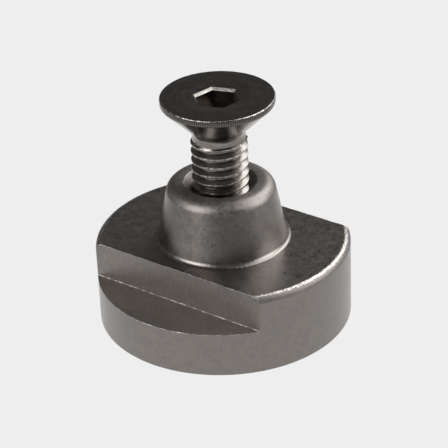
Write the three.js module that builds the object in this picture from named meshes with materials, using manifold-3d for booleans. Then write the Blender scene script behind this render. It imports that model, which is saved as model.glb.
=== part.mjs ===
// A round T-slot nut with a conical pilot boss, and the M6 countersunk socket screw that clamps a tool post on it.
// Millimetres, +Z up. The origin is the centre of the nut's underside. The slot runs along X, so the nut's two
// tenon flats face -Y and +Y. The screw is partly screwed in, with room under its head for the clamped part.
import * as THREE from "three";
import { mergeVertices } from "three/addons/utils/BufferGeometryUtils.js";
import Module from "manifold-3d";

const wasm = await Module();
wasm.setup();

// ---- Nut: driving dimensions
const FLANGE_DIAMETER = 27; // the round foot that runs under the slot's lips
const FLANGE_HEIGHT = 4.9; // up to the two shoulders
const TENON_WIDTH = 17; // across the flats
const DECK_HEIGHT = 8.85; // the flat deck round the boss
const DECK_EDGE_RADIUS = 0.7;
const UNDERSIDE_CHAMFER = 0.1;

const BOSS_TOP_HEIGHT = 15.4;
const BOSS_LAND_RADIUS = 4.6; // outer radius of the flat ring on top of the boss
const BOSS_ROUNDING = 1.2;
const BOSS_TAPER = THREE.MathUtils.degToRad(11); // half angle of the cone
const BOSS_FOOT_FILLET = 0.55;

// ---- Screw: M6 x 16, countersunk, 4 mm hexagon socket
const THREAD_RADIUS = 3;
const THREAD_PITCH = 1;
const SCREW_LENGTH = 16; // over the head, as countersunk screws are measured
const SCREW_TOP_HEIGHT = 25.2;
const HEAD_RADIUS = 5.95;
const HEAD_LAND = 0.55; // the short cylinder at the head's rim
const HEAD_RIM_CHAMFER = 0.12;
const NECK_RADIUS = 2.8;
const NECK_LENGTH = 0.9;
const SOCKET_WIDTH = 4; // across flats
const SOCKET_MOUTH_WIDTH = 4.5; // across flats at the broken edge of the socket
const SOCKET_DEPTH = 2.5;
const SOCKET_CORNER_ANGLE = THREE.MathUtils.degToRad(18.1);
const DISH_RADIUS = 3.7; // the shallow forged hollow round the socket
const DISH_SLOPE = THREE.MathUtils.degToRad(8);
const THREAD_PHASE = THREE.MathUtils.degToRad(216.7); // where a crest passes the height below
const THREAD_PHASE_HEIGHT = 20.06;

// ---- Fits and facets
const CREST_CLEARANCE = 0.02; // the rolled crest lies this far inside the nominal radius
const BORE_RADIUS = THREAD_RADIUS + 0.06; // the tapped hole, drawn plain and just clear of the screw's crests
const BORE_MOUTH_RADIUS = 3.85; // the head's cone meets this mouth a little over seven turns down
const BORE_EXIT_RADIUS = 3.5;
const ROUND_FACETS = 72;
const THREAD_FACETS = 36; // per turn, and round the screw's head
const ARC_STEPS = 5;

// ---- Helpers

// A solid from a closed geometry. Triangles that have shrunk to a line or a point are left out.
function solidOf(geometry) {
  const bare = geometry.clone();
  bare.deleteAttribute("normal");
  bare.deleteAttribute("uv");
  const merged = mergeVertices(bare, 1e-4);
  const corners = merged.index.array;
  const triVerts = [];
  for (let i = 0; i < corners.length; i += 3) {
    const [a, b, c] = corners.slice(i, i + 3);
    if (a !== b && b !== c && c !== a) triVerts.push(a, b, c);
  }
  return new wasm.Manifold(
    new wasm.Mesh({
      numProp: 3,
      vertProperties: merged.attributes.position.array,
      triVerts: new Uint32Array(triVerts),
    }),
  );
}

function geometryOf(solid) {
  const mesh = solid.getMesh();
  const geometry = new THREE.BufferGeometry();
  geometry.setAttribute("position", new THREE.BufferAttribute(mesh.vertProperties, 3));
  geometry.setIndex(new THREE.BufferAttribute(mesh.triVerts, 1));
  return geometry;
}

// A solid of revolution about Z from a closed outline of [radius, height] points, listed counter-clockwise.
// Its facets' edges start at the given angle from +X.
function revolve(outline, facets = ROUND_FACETS, startAngle = 0) {
  const points = [...outline, outline[0]].map(([r, z]) => new THREE.Vector2(r, z));
  const turned = new THREE.LatheGeometry(points, facets).rotateX(Math.PI / 2);
  return solidOf(turned.rotateZ(startAngle + Math.PI / 2));
}

// Points of a circular arc in the [radius, height] plane.
function arc(r, z, radius, from, to, steps = ARC_STEPS) {
  return Array.from({ length: steps + 1 }, (_, i) => {
    const angle = from + ((to - from) * i) / steps;
    return [r + radius * Math.cos(angle), z + radius * Math.sin(angle)];
  });
}

function block(width, depth, low, high, y) {
  const box = new THREE.BoxGeometry(width, depth, high - low);
  return solidOf(box.translate(0, y, (low + high) / 2));
}

// ---- Nut

// The boss's outline from its foot on the deck to its flat land, with its fillet, cone and rounded shoulder.
function bossOutline() {
  const roundingHeight = BOSS_TOP_HEIGHT - BOSS_ROUNDING;
  const coneTopRadius = BOSS_LAND_RADIUS + BOSS_ROUNDING * Math.cos(BOSS_TAPER);
  const coneTopHeight = roundingHeight + BOSS_ROUNDING * Math.sin(BOSS_TAPER);
  const filletHeight = DECK_HEIGHT + BOSS_FOOT_FILLET;
  const filletRadius =
    coneTopRadius +
    (coneTopHeight - filletHeight) * Math.tan(BOSS_TAPER) +
    BOSS_FOOT_FILLET / Math.cos(BOSS_TAPER);
  return [
    ...arc(filletRadius, filletHeight, BOSS_FOOT_FILLET, 1.5 * Math.PI, Math.PI + BOSS_TAPER),
    ...arc(BOSS_LAND_RADIUS, roundingHeight, BOSS_ROUNDING, BOSS_TAPER, Math.PI / 2),
  ];
}

function makeNut() {
  const radius = FLANGE_DIAMETER / 2;
  const turned = revolve([
    [BORE_EXIT_RADIUS, 0],
    [radius - UNDERSIDE_CHAMFER, 0],
    [radius, UNDERSIDE_CHAMFER],
    ...arc(radius - DECK_EDGE_RADIUS, DECK_HEIGHT - DECK_EDGE_RADIUS, DECK_EDGE_RADIUS, 0, Math.PI / 2),
    ...bossOutline(),
    [BORE_MOUTH_RADIUS, BOSS_TOP_HEIGHT],
    [BORE_RADIUS, BOSS_TOP_HEIGHT - (BORE_MOUTH_RADIUS - BORE_RADIUS)],
    [BORE_RADIUS, BORE_EXIT_RADIUS - BORE_RADIUS],
  ]);
  const cutDepth = radius; // wide enough to leave the round foot on either side
  const cutCentre = TENON_WIDTH / 2 + cutDepth / 2;
  return [-cutCentre, cutCentre].reduce(
    (nut, y) => nut.subtract(block(3 * radius, cutDepth, FLANGE_HEIGHT, DECK_HEIGHT + 1, y)),
    turned,
  );
}

// ---- Screw

const SHANK_TIP = SCREW_TOP_HEIGHT - SCREW_LENGTH;
const LAND_HEIGHT = SCREW_TOP_HEIGHT - HEAD_RIM_CHAMFER - HEAD_LAND; // bottom of the head's rim
const NECK_TOP = LAND_HEIGHT - (HEAD_RADIUS - NECK_RADIUS); // the head's cone is 90 degrees
const NECK_BOTTOM = NECK_TOP - NECK_LENGTH;
const THREAD_DEPTH = 0.6134 * THREAD_PITCH; // ISO metric external thread
const ROOT_RADIUS = THREAD_RADIUS - THREAD_DEPTH;
const CREST_RADIUS = THREAD_RADIUS - CREST_CLEARANCE;
const TIP_RADIUS = ROOT_RADIUS - 0.1;
const TIP_EDGE = 0.1; // height of the tip's plain edge, below the first thread

// One pitch of the thread as [radius, height above the middle of a crest]: crest, flank, root and flank.
function threadKnots() {
  const halfCrest = THREAD_PITCH / 16;
  const flank = (CREST_RADIUS - ROOT_RADIUS) * Math.tan(Math.PI / 6);
  return [
    [CREST_RADIUS, -halfCrest],
    [CREST_RADIUS, halfCrest],
    [ROOT_RADIUS, halfCrest + flank],
    [ROOT_RADIUS, THREAD_PITCH - halfCrest - flank],
  ];
}

// The screw's blank with its thread, as one closed skin: rings above and below, and between them rows of
// points that climb by one pitch a turn. Rows that would leave the threaded length lie on its end rings.
function makeThreadedBlank() {
  const knots = threadKnots();
  const low = SHANK_TIP + TIP_EDGE;
  const high = NECK_BOTTOM;
  const firstTurn = Math.floor((low - THREAD_PHASE_HEIGHT) / THREAD_PITCH) - 2;
  const lastTurn = Math.ceil((high - THREAD_PHASE_HEIGHT) / THREAD_PITCH) + 1;
  const positions = [];
  const angleOf = (column) => THREAD_PHASE + (column * 2 * Math.PI) / THREAD_FACETS;
  const place = (column, [r, z]) => [r * Math.cos(angleOf(column)), r * Math.sin(angleOf(column)), z];

  function threadPoint(column, row) {
    const wrapped = column % THREAD_FACETS;
    const wrappedRow = row + (column === wrapped ? 0 : knots.length);
    const turn = firstTurn + Math.floor(wrappedRow / knots.length);
    const [radius, rise] = knots[wrappedRow % knots.length];
    const z = THREAD_PHASE_HEIGHT + (turn + wrapped / THREAD_FACETS) * THREAD_PITCH + rise;
    if (z <= low) return place(wrapped, [TIP_RADIUS, low]);
    if (z >= high) return place(wrapped, [NECK_RADIUS, high]);
    const leadIn = TIP_RADIUS + (z - low);
    return place(wrapped, [Math.min(radius, leadIn), z]);
  }

  function addStrip(lower, upper) {
    for (let column = 0; column < THREAD_FACETS; column += 1) {
      const [a, b] = [lower(column), lower(column + 1)];
      const [c, d] = [upper(column + 1), upper(column)];
      positions.push(...a, ...b, ...c, ...a, ...c, ...d);
    }
  }

  const ring = (point) => (column) => place(column % THREAD_FACETS, point);
  addStrip(ring([0, SHANK_TIP]), ring([TIP_RADIUS, SHANK_TIP]));
  addStrip(ring([TIP_RADIUS, SHANK_TIP]), ring([TIP_RADIUS, low]));
  const rows = (lastTurn - firstTurn + 1) * knots.length;
  for (let row = 0; row < rows; row += 1) {
    addStrip(
      (column) => threadPoint(column, row),
      (column) => threadPoint(column, row + 1),
    );
  }
  const head = [
    [NECK_RADIUS, NECK_BOTTOM],
    [NECK_RADIUS, NECK_TOP],
    [HEAD_RADIUS, LAND_HEIGHT],
    [HEAD_RADIUS, LAND_HEIGHT + HEAD_LAND],
    [HEAD_RADIUS - HEAD_RIM_CHAMFER, SCREW_TOP_HEIGHT],
    [DISH_RADIUS, SCREW_TOP_HEIGHT],
    [0, SCREW_TOP_HEIGHT - DISH_RADIUS * Math.tan(DISH_SLOPE)],
  ];
  head.slice(1).forEach((point, i) => addStrip(ring(head[i]), ring(point)));

  const skin = new THREE.BufferGeometry();
  skin.setAttribute("position", new THREE.Float32BufferAttribute(positions, 3));
  return solidOf(skin);
}

// The hexagon socket as a solid, with its flared mouth, to be cut from the head.
function makeSocket() {
  const toCorner = 0.5 / Math.cos(Math.PI / 6);
  const flare = (SOCKET_MOUTH_WIDTH - SOCKET_WIDTH) / 2;
  const mouthHeight = SCREW_TOP_HEIGHT - (DISH_RADIUS - SOCKET_MOUTH_WIDTH / 2) * Math.tan(DISH_SLOPE);
  const floor = SCREW_TOP_HEIGHT - SOCKET_DEPTH;
  const clearance = 1;
  const outline = [
    [0, floor],
    [SOCKET_WIDTH * toCorner, floor],
    [SOCKET_WIDTH * toCorner, mouthHeight - flare],
    [SOCKET_MOUTH_WIDTH * toCorner, mouthHeight],
    [SOCKET_MOUTH_WIDTH * toCorner, SCREW_TOP_HEIGHT + clearance],
    [0, SCREW_TOP_HEIGHT + clearance],
  ];
  return revolve(outline, 6, SOCKET_CORNER_ANGLE);
}

function makeScrew() {
  return makeThreadedBlank().subtract(makeSocket());
}

// ---- Materials

const nutSteel = new THREE.MeshStandardMaterial({ color: 0x76726e, roughness: 0.42, metalness: 1 });
const screwSteel = new THREE.MeshStandardMaterial({ color: 0x6c6864, roughness: 0.3, metalness: 1 });

// ---- Assembly

function part(name, solid, material) {
  const mesh = new THREE.Mesh(geometryOf(solid), material);
  mesh.name = name;
  return mesh;
}

const slotNut = new THREE.Group();
slotNut.add(part("slot_nut", makeNut(), nutSteel));
slotNut.add(part("clamp_screw", makeScrew(), screwSteel));

export default slotNut;
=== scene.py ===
"""A round slot nut of dark, finely blasted steel, with a countersunk socket screw standing out of its boss.

Both CAD nodes are replaced by finer meshes of the same sizes, with broken edges, cut threads and a flared
socket. Lengths are given in millimetres and scaled to metres as the meshes are made.
"""

import math

import bmesh
import bpy
from mathutils import Matrix, Vector, noise


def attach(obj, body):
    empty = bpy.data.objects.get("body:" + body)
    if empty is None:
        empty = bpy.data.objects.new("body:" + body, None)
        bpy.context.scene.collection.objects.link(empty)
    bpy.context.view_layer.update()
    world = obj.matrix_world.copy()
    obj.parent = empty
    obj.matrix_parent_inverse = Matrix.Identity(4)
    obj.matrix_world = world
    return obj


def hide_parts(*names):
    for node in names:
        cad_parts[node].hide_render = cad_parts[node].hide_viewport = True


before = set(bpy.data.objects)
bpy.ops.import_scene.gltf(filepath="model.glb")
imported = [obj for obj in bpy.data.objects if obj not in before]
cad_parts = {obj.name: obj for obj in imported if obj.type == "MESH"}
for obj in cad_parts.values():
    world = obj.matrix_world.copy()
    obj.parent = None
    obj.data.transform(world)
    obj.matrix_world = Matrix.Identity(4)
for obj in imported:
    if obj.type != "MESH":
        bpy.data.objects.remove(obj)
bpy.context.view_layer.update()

MM = 0.001
TAU = 2 * math.pi

# ---- Nut
FLANGE_RADIUS = 13.5
FLANGE_HEIGHT = 4.9
TENON_WIDTH = 17.0
DECK_HEIGHT = 8.85
DECK_EDGE_RADIUS = 0.7
BOSS_TOP = 15.4
BOSS_LAND_RADIUS = 4.6
BOSS_ROUNDING = 1.2
BOSS_TAPER = math.radians(11)
BOSS_FOOT_FILLET = 0.55
UNDERSIDE_CHAMFER = 0.1
BORE_MOUTH_RADIUS = 3.85
BORE_EXIT_RADIUS = 3.5
BORE_RADIUS = 3.06
THREAD_START = 13.2  # above this the bore is plain, so that the screw's neck can enter it
SHOULDER_BREAK = 0.1  # how far each broken edge is cut back
DECK_BREAK = 0.13
CORNER_BREAK = 0.08
LIP_BREAK = 0.07
RUBBED_HEIGHT = 0.16  # how far the deck's rim is rubbed bright below the deck

# ---- Screw
THREAD_RADIUS = 3.0
THREAD_PITCH = 1.0
THREAD_PHASE = math.radians(216.7)  # where a crest passes the height below
THREAD_PHASE_HEIGHT = 20.06
SCREW_ROOT = THREAD_RADIUS - 0.6134 * THREAD_PITCH
TAP_ROOT = THREAD_RADIUS - 0.5413 * THREAD_PITCH
FLANK_SLOPE = math.tan(math.pi / 6)  # height gained on a flank for each unit inward
SCREW_TOP = 25.2
SCREW_TIP = 9.2
HEAD_RADIUS = 5.95
HEAD_LAND = 0.67  # the rim's whole height, its broken edge included
NECK_RADIUS = 2.8
NECK_LENGTH = 0.9
NECK_FILLET = 1.2  # small enough to clear the nut's mouth with the screw right down
SOCKET_WIDTH = 4.0
SOCKET_MOUTH_WIDTH = 4.5
SOCKET_DEPTH = 2.5
SOCKET_CORNER_ANGLE = math.radians(18.1)
DISH_RADIUS = 3.7
DISH_SLOPE = math.radians(8)
DISH_EDGE = 0.12  # half the width of the soft edge round the dish
HEAD_BREAK = 0.12
RIM_TICKS = 160  # fine upright marks round the head's rim

# ---- Fineness of the meshes
ROUND_STEPS = 256
THREAD_STEPS = 96  # per turn, and round the screw's head
EDGE_STEP = 0.4  # longest piece of a broken edge
WELD = 1e-7  # metres
CLEAR = 0.5  # how far a cutter reaches past what it cuts
NEAR = 0.05  # how close a point counts as being at a height


# ---- Mesh helpers


def arc(r, z, radius, start, end, steps=8):
    """Points of a circular arc in the (radius, height) plane."""
    angles = (start + (end - start) * i / steps for i in range(steps + 1))
    return [(r + radius * math.cos(a), z + radius * math.sin(a)) for a in angles]


def on_ring(radius, angle, height):
    return Vector((radius * math.cos(angle), radius * math.sin(angle), height)) * MM


def make_object(name, bm):
    """Welds the mesh, turns its faces outward and adds it to the scene."""
    bmesh.ops.remove_doubles(bm, verts=bm.verts, dist=WELD)
    bmesh.ops.dissolve_degenerate(bm, edges=bm.edges, dist=WELD)
    bmesh.ops.recalc_face_normals(bm, faces=bm.faces)
    mesh = bpy.data.meshes.new(name)
    bm.to_mesh(mesh)
    bm.free()
    obj = bpy.data.objects.new(name, mesh)
    bpy.context.scene.collection.objects.link(obj)
    return obj


def skin(bm, rows):
    """Quads between each row of points and the next; each row goes once round."""
    rings = [[bm.verts.new(point) for point in row] for row in rows]
    for lower, upper in zip(rings, rings[1:]):
        count = len(lower)
        for i in range(count):
            j = (i + 1) % count
            bm.faces.new((lower[i], lower[j], upper[j], upper[i]))


def revolve(name, outline, steps=ROUND_STEPS, start_angle=0.0):
    """A solid of revolution from a closed outline of (radius, height) points."""
    bm = bmesh.new()
    angles = [start_angle + TAU * i / steps for i in range(steps)]
    skin(bm, [[on_ring(r, a, z) for a in angles] for r, z in [*outline, outline[0]]])
    return make_object(name, bm)


def subtract(obj, cutter):
    """Cuts one object's solid from another's, and removes the cutter."""
    modifier = obj.modifiers.new("cut", "BOOLEAN")
    modifier.operation = "DIFFERENCE"
    modifier.solver = "EXACT"
    modifier.object = cutter
    graph = bpy.context.evaluated_depsgraph_get()
    cut = bpy.data.meshes.new_from_object(obj.evaluated_get(graph))
    obj.modifiers.clear()
    old = obj.data
    obj.data = cut
    bpy.data.meshes.remove(old)
    bpy.data.meshes.remove(cutter.data)


def break_edges(obj, width, is_wanted, wear=0.0, unevenness=0.0, sharper_than=30, segments=3):
    """Rounds the sharp edges that is_wanted picks by their middle point, in millimetres.

    The new faces remember how worn they are, and their points can be sunk a little, as on a real edge.
    """
    bm = bmesh.new()
    bm.from_mesh(obj.data)
    worn = bm.faces.layers.float.get("worn") or bm.faces.layers.float.new("worn")
    bmesh.ops.remove_doubles(bm, verts=bm.verts, dist=WELD)

    def wanted_edges():
        return [
            e
            for e in bm.edges
            if len(e.link_faces) == 2
            and e.calc_face_angle(0) > math.radians(sharper_than)
            and is_wanted((e.verts[0].co + e.verts[1].co) / 2 / MM)
        ]

    too_long = [e for e in wanted_edges() if e.calc_length() > EDGE_STEP * MM]
    while too_long:
        edge = too_long.pop()
        other_half, _ = bmesh.utils.edge_split(edge, edge.verts[0], 0.5)
        if edge.calc_length() > EDGE_STEP * MM:
            too_long += [edge, other_half]
    made = bmesh.ops.bevel(
        bm,
        geom=wanted_edges(),
        offset=width * MM,
        offset_type="OFFSET",
        segments=segments,
        profile=0.5,
        affect="EDGES",
        clamp_overlap=True,
    )
    for face in made["faces"]:
        face[worn] = wear
    bm.normal_update()
    for vert in {v for face in made["faces"] for v in face.verts}:
        vert.co -= vert.normal * abs(noise.noise(vert.co / MM * 3)) * unevenness * MM
    bm.to_mesh(obj.data)
    bm.free()


def shade(obj, sharper_than=40):
    """Smooth shading, in which the large flat faces stay flat up to their edges."""
    obj.data.shade_smooth()
    obj.data.set_sharp_from_angle(angle=math.radians(sharper_than))
    obj.modifiers.new("flat faces", "WEIGHTED_NORMAL").keep_sharp = True


# ---- Nut


def boss_outline():
    """The boss from its foot on the deck to its flat land: fillet, cone and rounded shoulder."""
    rounding_height = BOSS_TOP - BOSS_ROUNDING
    cone_top_radius = BOSS_LAND_RADIUS + BOSS_ROUNDING * math.cos(BOSS_TAPER)
    cone_top_height = rounding_height + BOSS_ROUNDING * math.sin(BOSS_TAPER)
    fillet_height = DECK_HEIGHT + BOSS_FOOT_FILLET
    fillet_radius = (
        cone_top_radius
        + (cone_top_height - fillet_height) * math.tan(BOSS_TAPER)
        + BOSS_FOOT_FILLET / math.cos(BOSS_TAPER)
    )
    fillet_end = math.pi + BOSS_TAPER
    return [
        *arc(fillet_radius, fillet_height, BOSS_FOOT_FILLET, 1.5 * math.pi, fillet_end),
        *arc(BOSS_LAND_RADIUS, rounding_height, BOSS_ROUNDING, BOSS_TAPER, math.pi / 2),
    ]


def box_between(name, low, high):
    bm = bmesh.new()
    bmesh.ops.create_cube(bm, size=1)
    size = Vector(high) - Vector(low)
    middle = (Vector(high) + Vector(low)) / 2
    bm.transform(Matrix.Translation(middle * MM) @ Matrix.Diagonal((*(size * MM), 1)))
    return make_object(name, bm)


def make_nut():
    reach = 2 * FLANGE_RADIUS
    nut = revolve(
        "slot_nut_body",
        [
            (0, 0),
            (FLANGE_RADIUS - UNDERSIDE_CHAMFER, 0),
            (FLANGE_RADIUS, UNDERSIDE_CHAMFER),
            *arc(
                FLANGE_RADIUS - DECK_EDGE_RADIUS,
                DECK_HEIGHT - DECK_EDGE_RADIUS,
                DECK_EDGE_RADIUS,
                0,
                math.pi / 2,
            ),
            *boss_outline(),
            (0, BOSS_TOP),
        ],
    )
    for side in (-1, 1):
        near, far = sorted((side * TENON_WIDTH / 2, side * reach))
        subtract(nut, box_between("cutter", (-reach, near, FLANGE_HEIGHT), (reach, far, reach)))

    def is_outer(p):
        return math.hypot(p.x, p.y) > TENON_WIDTH / 2 - CLEAR

    def is_shoulder(p):
        return is_outer(p) and abs(p.z - FLANGE_HEIGHT) < NEAR

    def is_deck_edge(p):
        return is_outer(p) and abs(p.z - DECK_HEIGHT) < NEAR

    def is_corner(p):
        return is_outer(p) and FLANGE_HEIGHT < p.z < DECK_HEIGHT

    def is_bore_lip(p):
        return math.hypot(p.x, p.y) < BOSS_LAND_RADIUS - CLEAR and abs(p.z - BOSS_TOP) < NEAR

    break_edges(nut, SHOULDER_BREAK, is_shoulder, wear=1, unevenness=0.03)
    break_edges(nut, DECK_BREAK, is_deck_edge, wear=1, unevenness=0.04)
    break_edges(nut, CORNER_BREAK, is_corner, wear=0.2)
    mouth_depth = BORE_MOUTH_RADIUS - BORE_RADIUS
    mouth = [
        (0, THREAD_START - BORE_RADIUS),
        (BORE_RADIUS, THREAD_START),
        (BORE_RADIUS, BOSS_TOP - mouth_depth),
        (BORE_MOUTH_RADIUS + CLEAR, BOSS_TOP + CLEAR),
        (0, BOSS_TOP + CLEAR),
    ]
    bore_exit = [(0, -CLEAR), (BORE_EXIT_RADIUS + CLEAR, -CLEAR), (0, BORE_EXIT_RADIUS)]
    subtract(nut, make_tap())
    for outline in (mouth, bore_exit):
        subtract(nut, revolve("cutter", outline))
    break_edges(nut, LIP_BREAK, is_bore_lip, wear=0.3)
    shade(nut)
    return nut


# ---- Screw


def screw_knots():
    """One pitch of the screw's thread as (radius, height above the middle of a crest)."""
    crest = THREAD_RADIUS - 0.02
    flank = (crest - SCREW_ROOT) * FLANK_SLOPE
    half_crest = THREAD_PITCH / 16
    root_edge = half_crest + flank
    return [
        (crest - 0.015, -half_crest - 0.025),
        (crest, -half_crest + 0.025),
        (crest, half_crest - 0.025),
        (crest - 0.015, half_crest + 0.025),
        (SCREW_ROOT + 0.08, root_edge - 0.05),
        (SCREW_ROOT, root_edge + 0.03),
        (SCREW_ROOT, THREAD_PITCH - root_edge - 0.03),
        (SCREW_ROOT + 0.08, THREAD_PITCH - root_edge + 0.05),
    ]


def tap_knots():
    """The same for the tap that cuts the nut's thread: a little larger, with a shallower root."""
    play = 0.03
    crest = THREAD_RADIUS + play
    half_crest = THREAD_PITCH / 16 + play
    root_edge = half_crest + (crest - TAP_ROOT) * FLANK_SLOPE
    return [
        (crest, -half_crest),
        (crest, half_crest),
        (TAP_ROOT, root_edge),
        (TAP_ROOT, THREAD_PITCH - root_edge),
    ]


def helical_skin(bm, knots, low, high, low_radius, high_radius):
    """Rows of points that climb a pitch a turn, and the quads between them.

    Rows that would leave the threaded length lie on its end rings.
    """
    spare_turns = 2
    first_turn = math.floor((low - THREAD_PHASE_HEIGHT) / THREAD_PITCH) - spare_turns
    turns = math.ceil((high - THREAD_PHASE_HEIGHT) / THREAD_PITCH) + spare_turns - first_turn
    grid = []
    for turn in range(turns):
        for radius, rise in knots:
            row = []
            for step in range(THREAD_STEPS):
                climb = (first_turn + turn + step / THREAD_STEPS) * THREAD_PITCH
                z = THREAD_PHASE_HEIGHT + climb + rise
                r = min(radius, low_radius + z - low)
                if z <= low:
                    r, z = low_radius, low
                elif z >= high:
                    r, z = high_radius, high
                row.append(bm.verts.new(on_ring(r, THREAD_PHASE + TAU * step / THREAD_STEPS, z)))
            grid.append(row)
    last = len(grid) - 1
    for lower in range(last):
        for i in range(THREAD_STEPS):
            # The end of each row meets the start of the row one turn on.
            wraps = i + 1 == THREAD_STEPS
            j = 0 if wraps else i + 1
            lift = len(knots) if wraps else 0
            next_lower = grid[min(lower + lift, last)][j]
            next_upper = grid[min(lower + 1 + lift, last)][j]
            corners = (grid[lower][i], next_lower, next_upper, grid[lower + 1][i])
            if len(set(corners)) == 4:
                bm.faces.new(corners)
            elif next_lower is next_upper:
                bm.faces.new((grid[lower][i], next_lower, grid[lower + 1][i]))


def rings(points):
    """A row round the screw's axis for each (radius, height) point."""
    angles = [THREAD_PHASE + TAU * i / THREAD_STEPS for i in range(THREAD_STEPS)]
    return [[on_ring(r, a, z) for a in angles] for r, z in points]


def make_tap():
    """A threaded rod longer than the nut is high, to be cut from it."""
    bm = bmesh.new()
    low = -3 * CLEAR
    high = BOSS_TOP + 3 * CLEAR
    helical_skin(bm, tap_knots(), low, high, TAP_ROOT, TAP_ROOT)
    for height in (low, high):
        skin(bm, rings([(0, height), (TAP_ROOT, height)]))
    return make_object("cutter", bm)


def make_screw():
    bm = bmesh.new()
    land_bottom = SCREW_TOP - HEAD_LAND
    neck_top = land_bottom - (HEAD_RADIUS - NECK_RADIUS)
    neck_bottom = neck_top - NECK_LENGTH
    tip_radius = SCREW_ROOT - 0.1
    low = SCREW_TIP + 0.1

    helical_skin(bm, screw_knots(), low, neck_bottom, tip_radius, NECK_RADIUS)
    skin(bm, rings([(0, SCREW_TIP), (tip_radius, SCREW_TIP), (tip_radius, low)]))
    fillet_height = neck_top - NECK_FILLET * math.tan(math.pi / 8)
    half_cone = (HEAD_RADIUS - NECK_RADIUS) / 2
    head = [
        (NECK_RADIUS, neck_bottom),
        *arc(NECK_RADIUS + NECK_FILLET, fillet_height, NECK_FILLET, math.pi, 0.75 * math.pi),
        (HEAD_RADIUS - half_cone, land_bottom - half_cone),
        (HEAD_RADIUS, land_bottom),
        (HEAD_RADIUS, SCREW_TOP),
        (DISH_RADIUS + DISH_EDGE, SCREW_TOP),
        (DISH_RADIUS - DISH_EDGE, SCREW_TOP - DISH_EDGE * math.tan(DISH_SLOPE)),
        (0, SCREW_TOP - DISH_RADIUS * math.tan(DISH_SLOPE)),
    ]
    skin(bm, rings(head))
    screw = make_object("countersunk_screw", bm)

    to_corner = 0.5 / math.cos(math.pi / 6)
    flare = (SOCKET_MOUTH_WIDTH - SOCKET_WIDTH) / 2
    mouth = SCREW_TOP - (DISH_RADIUS - SOCKET_MOUTH_WIDTH / 2) * math.tan(DISH_SLOPE)
    floor = SCREW_TOP - SOCKET_DEPTH
    socket = revolve(
        "cutter",
        [
            (0, floor - CLEAR),
            (SOCKET_WIDTH * to_corner, floor),
            (SOCKET_WIDTH * to_corner, mouth - flare),
            (SOCKET_MOUTH_WIDTH * to_corner, mouth),
            (SOCKET_MOUTH_WIDTH * to_corner, SCREW_TOP + CLEAR),
            (0, SCREW_TOP + CLEAR),
        ],
        6,
        SOCKET_CORNER_ANGLE,
    )
    subtract(screw, socket)

    def is_outer(p):
        return math.hypot(p.x, p.y) > HEAD_RADIUS - CLEAR

    def is_top_of_rim(p):
        return is_outer(p) and p.z > SCREW_TOP - NEAR

    def is_bottom_of_rim(p):
        return is_outer(p) and abs(p.z - land_bottom) < NEAR

    break_edges(screw, HEAD_BREAK, is_top_of_rim, wear=0.8, unevenness=0.02)
    break_edges(screw, HEAD_BREAK, is_bottom_of_rim, wear=0.1, unevenness=0.02)
    shade(screw, 35)
    return screw


# ---- Materials


def add(tree, kind, inputs, **settings):
    """Adds a shader node, sets or links its inputs, and gives back its first output."""
    node = tree.nodes.new(kind)
    for name, value in settings.items():
        setattr(node, name, value)
    for name, value in inputs.items():
        if isinstance(value, bpy.types.NodeSocket):
            tree.links.new(value, node.inputs[name])
        else:
            node.inputs[name].default_value = value
    return node.outputs[0]


def maths(tree, operation, a, b=0.0):
    return add(tree, "ShaderNodeMath", {0: a, 1: b}, operation=operation)


def spread(tree, value, low, high, to_low=0.0, to_high=1.0):
    """Maps low..high onto to_low..to_high, and holds it there."""
    inputs = {"Value": value, "From Min": low, "From Max": high, "To Min": to_low, "To Max": to_high}
    return add(tree, "ShaderNodeMapRange", inputs)


def tint(tree, amount, colour, towards):
    """Mixes a colour towards another; either is a socket or an (r, g, b) triple."""
    inputs = {"Fac": amount}
    for name, value in (("Color1", colour), ("Color2", towards)):
        inputs[name] = value if isinstance(value, bpy.types.NodeSocket) else (*value, 1)
    return add(tree, "ShaderNodeMixRGB", inputs)


def combine(tree, operation, values):
    result = values[0]
    for value in values[1:]:
        result = maths(tree, operation, result, value)
    return result


def total(tree, *values):
    return combine(tree, "ADD", values)


def product(tree, *values):
    return combine(tree, "MULTIPLY", values)


def place_at(tree, x, y, z):
    """A place made from three values, for noise that is stretched or wrapped."""
    return add(tree, "ShaderNodeCombineXYZ", {"X": x, "Y": y, "Z": z})


def above(tree, value, limit):
    return maths(tree, "GREATER_THAN", value, limit)


def clouds(tree, place, scale, detail=3.0, roughness=0.55):
    inputs = {"Vector": place, "Scale": scale, "Detail": detail, "Roughness": roughness}
    return add(tree, "ShaderNodeTexNoise", inputs)


def new_metal(name):
    """A metallic material, with the place on the piece in millimetres and how worn it is there."""
    material = bpy.data.materials.new(name)
    material.use_nodes = True
    tree = material.node_tree
    tree.nodes["Principled BSDF"].inputs["Metallic"].default_value = 1
    place = tree.nodes.new("ShaderNodeTexCoord").outputs["Object"]
    place = add(tree, "ShaderNodeVectorMath", {0: place, "Scale": 1 / MM}, operation="SCALE")
    worn = tree.nodes.new("ShaderNodeAttribute")
    worn.attribute_name = "worn"
    return material, tree, place, worn.outputs["Fac"]


def finish_metal(tree, colour, roughness, height):
    """Links the metal's look. The height of its relief is in millimetres."""
    shader = tree.nodes["Principled BSDF"]
    tree.links.new(colour, shader.inputs["Base Color"])
    tree.links.new(roughness, shader.inputs["Roughness"])
    relief = add(tree, "ShaderNodeBump", {"Height": height, "Strength": 1.0, "Distance": MM})
    tree.links.new(relief, shader.inputs["Normal"])


def measures(tree, place):
    """The place's x, y and z, and how far it is from the axis."""
    parts = tree.nodes.new("ShaderNodeSeparateXYZ")
    tree.links.new(place, parts.inputs[0])
    x, y, z = parts.outputs
    squares = [product(tree, part, part) for part in (x, y)]
    return x, y, z, maths(tree, "SQRT", total(tree, *squares))


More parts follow.
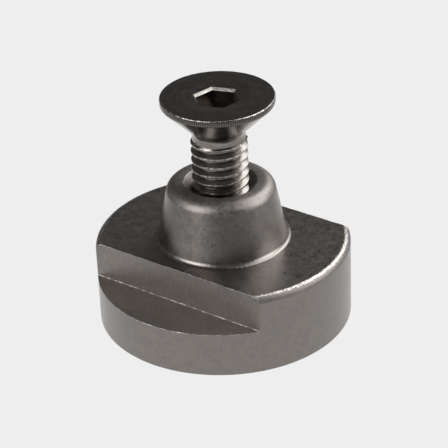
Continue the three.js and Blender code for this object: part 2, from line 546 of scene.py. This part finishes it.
BLASTED_DARK = (0.176, 0.162, 0.151)
BLASTED_PALE = (0.214, 0.196, 0.183)
BLASTED_SPECK = (0.26, 0.239, 0.223)
BLASTED_CUT = (0.33, 0.305, 0.285)
BLASTED_BARE = (0.8, 0.76, 0.72)


def blasted_steel():
    """Dark satin steel: fine speckled grain, faint cloudy mottling, milled flats and bright worn edges."""
    material, tree, place, worn = new_metal("blasted_steel")
    x, y, z, radius = measures(tree, place)
    mottle = clouds(tree, place, 0.9, 4, 0.6)
    cloudy = spread(tree, mottle, 0.35, 0.65)
    grain = clouds(tree, place, 4, 2, 0.6)
    speckle = spread(tree, grain, 0.35, 0.65, -1, 1)

    # The flats and shoulders, with the cutter's fine streaks
    beyond_flats = above(tree, maths(tree, "ABSOLUTE", y), TENON_WIDTH / 2 - NEAR)
    milled = product(tree, beyond_flats, above(tree, z, FLANGE_HEIGHT - NEAR))
    cut_place = place_at(tree, product(tree, x, 5), product(tree, y, 0.7), z)
    cuts = product(tree, clouds(tree, cut_place, 1, 4, 0.7), milled)

    # The deck's rounded rim: a ragged bright line at its top, and a duller surface below
    on_rim = above(tree, radius, FLANGE_RADIUS - DECK_EDGE_RADIUS + NEAR)
    raggedness = spread(tree, clouds(tree, place, 3, 3, 0.8), 0.3, 0.7, -0.08, 0.08)
    line_bottom = DECK_HEIGHT - RUBBED_HEIGHT
    near_deck = spread(tree, total(tree, z, raggedness), line_bottom, line_bottom + NEAR)
    rubbed = product(tree, near_deck, on_rim)
    whole_rim = product(tree, on_rim, above(tree, z, DECK_HEIGHT - DECK_EDGE_RADIUS))
    below_line = maths(tree, "SUBTRACT", whole_rim, rubbed)

    # The boss: rougher at its top, smoother in the fillet at its foot
    rounding_bottom = BOSS_TOP - BOSS_ROUNDING
    boss_top = spread(tree, z, rounding_bottom, rounding_bottom + BOSS_ROUNDING / 2)
    shoulder = product(tree, boss_top, above(tree, radius, BOSS_LAND_RADIUS))
    below_fillet_top = maths(tree, "LESS_THAN", z, DECK_HEIGHT + BOSS_FOOT_FILLET)
    foot = product(tree, above(tree, z, DECK_HEIGHT + 0.02), below_fillet_top)

    chips = spread(tree, clouds(tree, place, 2.2, 3, 0.7), 0.45, 0.6)
    flecks = spread(tree, clouds(tree, place, 4, 3, 0.8), 0.44, 0.56)
    rubbed_off = total(tree, product(tree, rubbed, 0.6), product(tree, shoulder, 0.06))
    bare = maths(tree, "MAXIMUM", product(tree, worn, chips), product(tree, rubbed_off, flecks))
    colour = tint(tree, cloudy, BLASTED_DARK, BLASTED_PALE)
    colour = tint(tree, spread(tree, speckle, -1, 1, 0.0, 0.5), colour, BLASTED_SPECK)
    colour = tint(tree, spread(tree, cuts, 0.45, 0.65, 0.0, 0.35), colour, BLASTED_CUT)
    colour = tint(tree, bare, colour, BLASTED_BARE)
    roughness = total(
        tree,
        spread(tree, mottle, 0.3, 0.7, 0.3, 0.38),
        product(tree, milled, 0.12),
        product(tree, boss_top, 0.15),
        product(tree, below_line, 0.22),
        product(tree, foot, -0.04),
        product(tree, speckle, 0.04),
    )
    relief = total(
        tree,
        product(tree, grain, 0.009),
        product(tree, mottle, 0.012),
        product(tree, cuts, 0.012),
    )
    finish_metal(tree, colour, roughness, relief)
    return material


OILED_DARK = (0.18, 0.165, 0.153)
OILED_PALE = (0.215, 0.197, 0.184)
# painted shade: this colour darkens the head's face
FACE_PAINTED_SHADE = (0.1, 0.095, 0.088)
OILED_SCRATCH = (0.42, 0.39, 0.36)
# painted shade: this colour makes the head's rim almost black
RIM_PAINTED_SHADE = (0.04, 0.037, 0.034)
OILED_TICK = (0.3, 0.28, 0.26)
OILED_BARE = (0.6, 0.56, 0.52)


def oiled_steel_with_painted_shade():
    """Oiled steel, darkened by painted shade on the head's face and rim: a scratched face, a finely ticked
    rim, a streaky thread with rubbed crests.
    """
    material, tree, place, worn = new_metal("oiled_steel_with_painted_shade")
    x, y, z, radius = measures(tree, place)
    angle = maths(tree, "ARCTAN2", x, product(tree, y, -1))
    mottle = clouds(tree, place, 1.1, 4, 0.6)
    cloudy = spread(tree, mottle, 0.35, 0.65)
    dents = clouds(tree, place, 3.5, 3, 0.6)

    # The head's face, with turning rings and scratches that run round it, and painted shade that darkens
    # its colour
    on_face = spread(tree, z, SCREW_TOP - 0.5, SCREW_TOP - 0.4)
    rings_across = clouds(tree, place_at(tree, radius, 0.0, 0.0), 5, 3, 0.7)
    scratch_place = place_at(tree, product(tree, angle, 1.5), product(tree, radius, 5), 0.0)
    scratches = spread(tree, clouds(tree, scratch_place, 1.3, 4, 0.8), 0.5, 0.75)

    # The rim, painted almost black as shade, with fine upright ticks
    on_rim = above(tree, radius, HEAD_RADIUS - 0.06)
    ticks = spread(tree, maths(tree, "SINE", product(tree, angle, RIM_TICKS)), -0.5, 0.9)
    ticked = product(tree, on_rim, ticks)

    # The thread, with streaks along it
    neck_middle = SCREW_TOP - HEAD_LAND - (HEAD_RADIUS - NECK_RADIUS) - NECK_LENGTH / 2
    threaded = maths(tree, "LESS_THAN", z, neck_middle)
    crest = product(tree, spread(tree, radius, THREAD_RADIUS - 0.06, THREAD_RADIUS - 0.03), threaded)
    streak_place = place_at(tree, product(tree, angle, 1.6), product(tree, z, 5), radius)
    streaks = product(tree, clouds(tree, streak_place, 2, 3, 0.7), threaded)

    chips = spread(tree, clouds(tree, place, 2.5, 3, 0.7), 0.42, 0.58)
    bare = product(tree, maths(tree, "MAXIMUM", worn, product(tree, crest, 0.6)), chips)
    colour = tint(tree, cloudy, OILED_DARK, OILED_PALE)
    # painted shade: the head's face is darkened in its colour
    colour = tint(tree, product(tree, on_face, 0.5), colour, FACE_PAINTED_SHADE)
    colour = tint(tree, product(tree, on_face, scratches), colour, OILED_SCRATCH)
    # painted shade: the rim is made almost black in its colour
    colour = tint(tree, product(tree, on_rim, 0.9), colour, RIM_PAINTED_SHADE)
    colour = tint(tree, product(tree, ticked, 0.35), colour, OILED_TICK)
    colour = tint(tree, bare, colour, OILED_BARE)
    roughness = total(
        tree,
        spread(tree, mottle, 0.3, 0.7, 0.19, 0.25),
        product(tree, on_rim, 0.08),
    )
    relief = total(
        tree,
        product(tree, dents, 0.008),
        product(tree, rings_across, on_face, 0.014),
        product(tree, ticked, 0.01),
        product(tree, streaks, 0.02),
    )
    finish_metal(tree, colour, roughness, relief)
    return material


nut = make_nut()
screw = make_screw()
nut.data.materials.append(blasted_steel())
screw.data.materials.append(oiled_steel_with_painted_shade())
for piece, body, node, slot in (
    (nut, "nut", "slot_nut", "nut_steel"),
    (screw, "screw", "clamp_screw", "screw_steel"),
):
    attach(piece, body)
    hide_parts(node)

# ---- Camera

AZIMUTH = math.radians(36.63)
ELEVATION = math.radians(29.62)
ROLL = math.radians(-2.34)
DISTANCE = 206.46 * MM
AIM_HEIGHT = 10.14 * MM
AIM_ASIDE = 0.16 * MM
LENS = 157.2

aside = Vector((math.cos(AZIMUTH), math.sin(AZIMUTH), 0))
to_front = Vector((math.sin(AZIMUTH), -math.cos(AZIMUTH), 0))
back = to_front * math.cos(ELEVATION) + Vector((0, 0, math.sin(ELEVATION)))
camera_data = bpy.data.cameras.new("camera")
camera_data.lens = LENS
camera_data.sensor_width = 36
camera_data.clip_start = 0.01
camera_data.clip_end = 50
camera = bpy.data.objects.new("camera", camera_data)
camera.location = aside * AIM_ASIDE + Vector((0, 0, AIM_HEIGHT)) + back * DISTANCE
camera.rotation_mode = "QUATERNION"
level = (-back).to_track_quat("-Z", "Y")
camera.rotation_quaternion = level @ Matrix.Rotation(ROLL, 4, "Z").to_quaternion()
bpy.context.scene.collection.objects.link(camera)
bpy.context.scene.camera = camera

# ---- Floor and light

FLOOR_BRIGHTNESS = 0.855
FLOOR_GAP = 0.02  # keeps the floor from lying in the underside's own plane
FLOOR_REACH = 40  # metres
# The studio, in degrees round from the camera (counter-clockwise seen from above) and up from the horizon.
# Three soft boxes of one size and brightness stand round the metal, on a pale table in a dim room.
BOX_WIDTH = 40
BOX_HEIGHT = 50
BOX_BRIGHTNESS = 5
BOX_SOFTNESS = 12  # how far an edge fades, either side
BOX_PLACES = (
    (85, 30),  # right
    (-55, 30),  # left
    (135, 45),  # behind, on the right
)
TABLE_BRIGHTNESS = 0.9
TABLE_EDGE = -14  # how high the table reaches, before its edge fades
ROOM_BRIGHTNESS = 0.12


def window(tree, value, low, high):
    """1 between low and high, fading to 0 outside."""
    opens = {"Value": value, "From Min": low - BOX_SOFTNESS, "From Max": low + BOX_SOFTNESS}
    closes = {
        "Value": value,
        "From Min": high - BOX_SOFTNESS,
        "From Max": high + BOX_SOFTNESS,
        "To Min": 1.0,
        "To Max": 0.0,
    }
    edges = [
        add(tree, "ShaderNodeMapRange", inputs, interpolation_type="SMOOTHSTEP")
        for inputs in (opens, closes)
    ]
    return product(tree, *edges)


def make_world():
    world = bpy.data.worlds.new("studio")
    world.use_nodes = True
    tree = world.node_tree
    outward = tree.nodes.new("ShaderNodeTexCoord").outputs["Generated"]

    def along(direction):
        dot = tree.nodes.new("ShaderNodeVectorMath")
        dot.operation = "DOT_PRODUCT"
        tree.links.new(outward, dot.inputs[0])
        dot.inputs[1].default_value = direction
        return dot.outputs["Value"]

    turn = maths(tree, "DEGREES", maths(tree, "ARCTAN2", along(aside), along(to_front)))
    rise = maths(tree, "DEGREES", maths(tree, "ARCSINE", along((0, 0, 1))))
    glows = [ROOM_BRIGHTNESS]
    for around, up in BOX_PLACES:
        across = window(tree, turn, around - BOX_WIDTH / 2, around + BOX_WIDTH / 2)
        upward = window(tree, rise, up - BOX_HEIGHT / 2, up + BOX_HEIGHT / 2)
        glows.append(product(tree, across, upward, BOX_BRIGHTNESS))
    table = window(tree, rise, -90 - BOX_SOFTNESS, TABLE_EDGE)
    glows.append(product(tree, table, TABLE_BRIGHTNESS))
    background = tree.nodes["Background"]
    background.inputs["Color"].default_value = (1, 1, 1, 1)
    tree.links.new(total(tree, *glows), background.inputs["Strength"])
    bpy.context.scene.world = world


bm = bmesh.new()
bmesh.ops.create_grid(bm, x_segments=1, y_segments=1, size=FLOOR_REACH)
floor = make_object("floor", bm)
floor_material = bpy.data.materials.new("floor")
floor_material.use_nodes = True
tree = floor_material.node_tree
glow = add(tree, "ShaderNodeEmission", {"Color": (1, 1, 1, 1), "Strength": FLOOR_BRIGHTNESS})
clear = add(tree, "ShaderNodeBsdfTransparent", {})
seen_from_below = tree.nodes.new("ShaderNodeNewGeometry").outputs["Backfacing"]
one_sided = add(tree, "ShaderNodeMixShader", {0: seen_from_below, 1: glow, 2: clear})
tree.links.new(one_sided, tree.nodes["Material Output"].inputs["Surface"])
floor.data.materials.append(floor_material)
floor.location.z = -FLOOR_GAP * MM
floor.visible_glossy = False  # the metal sees the studio's table instead
make_world()
bpy.context.scene.view_settings.view_transform = "Standard"
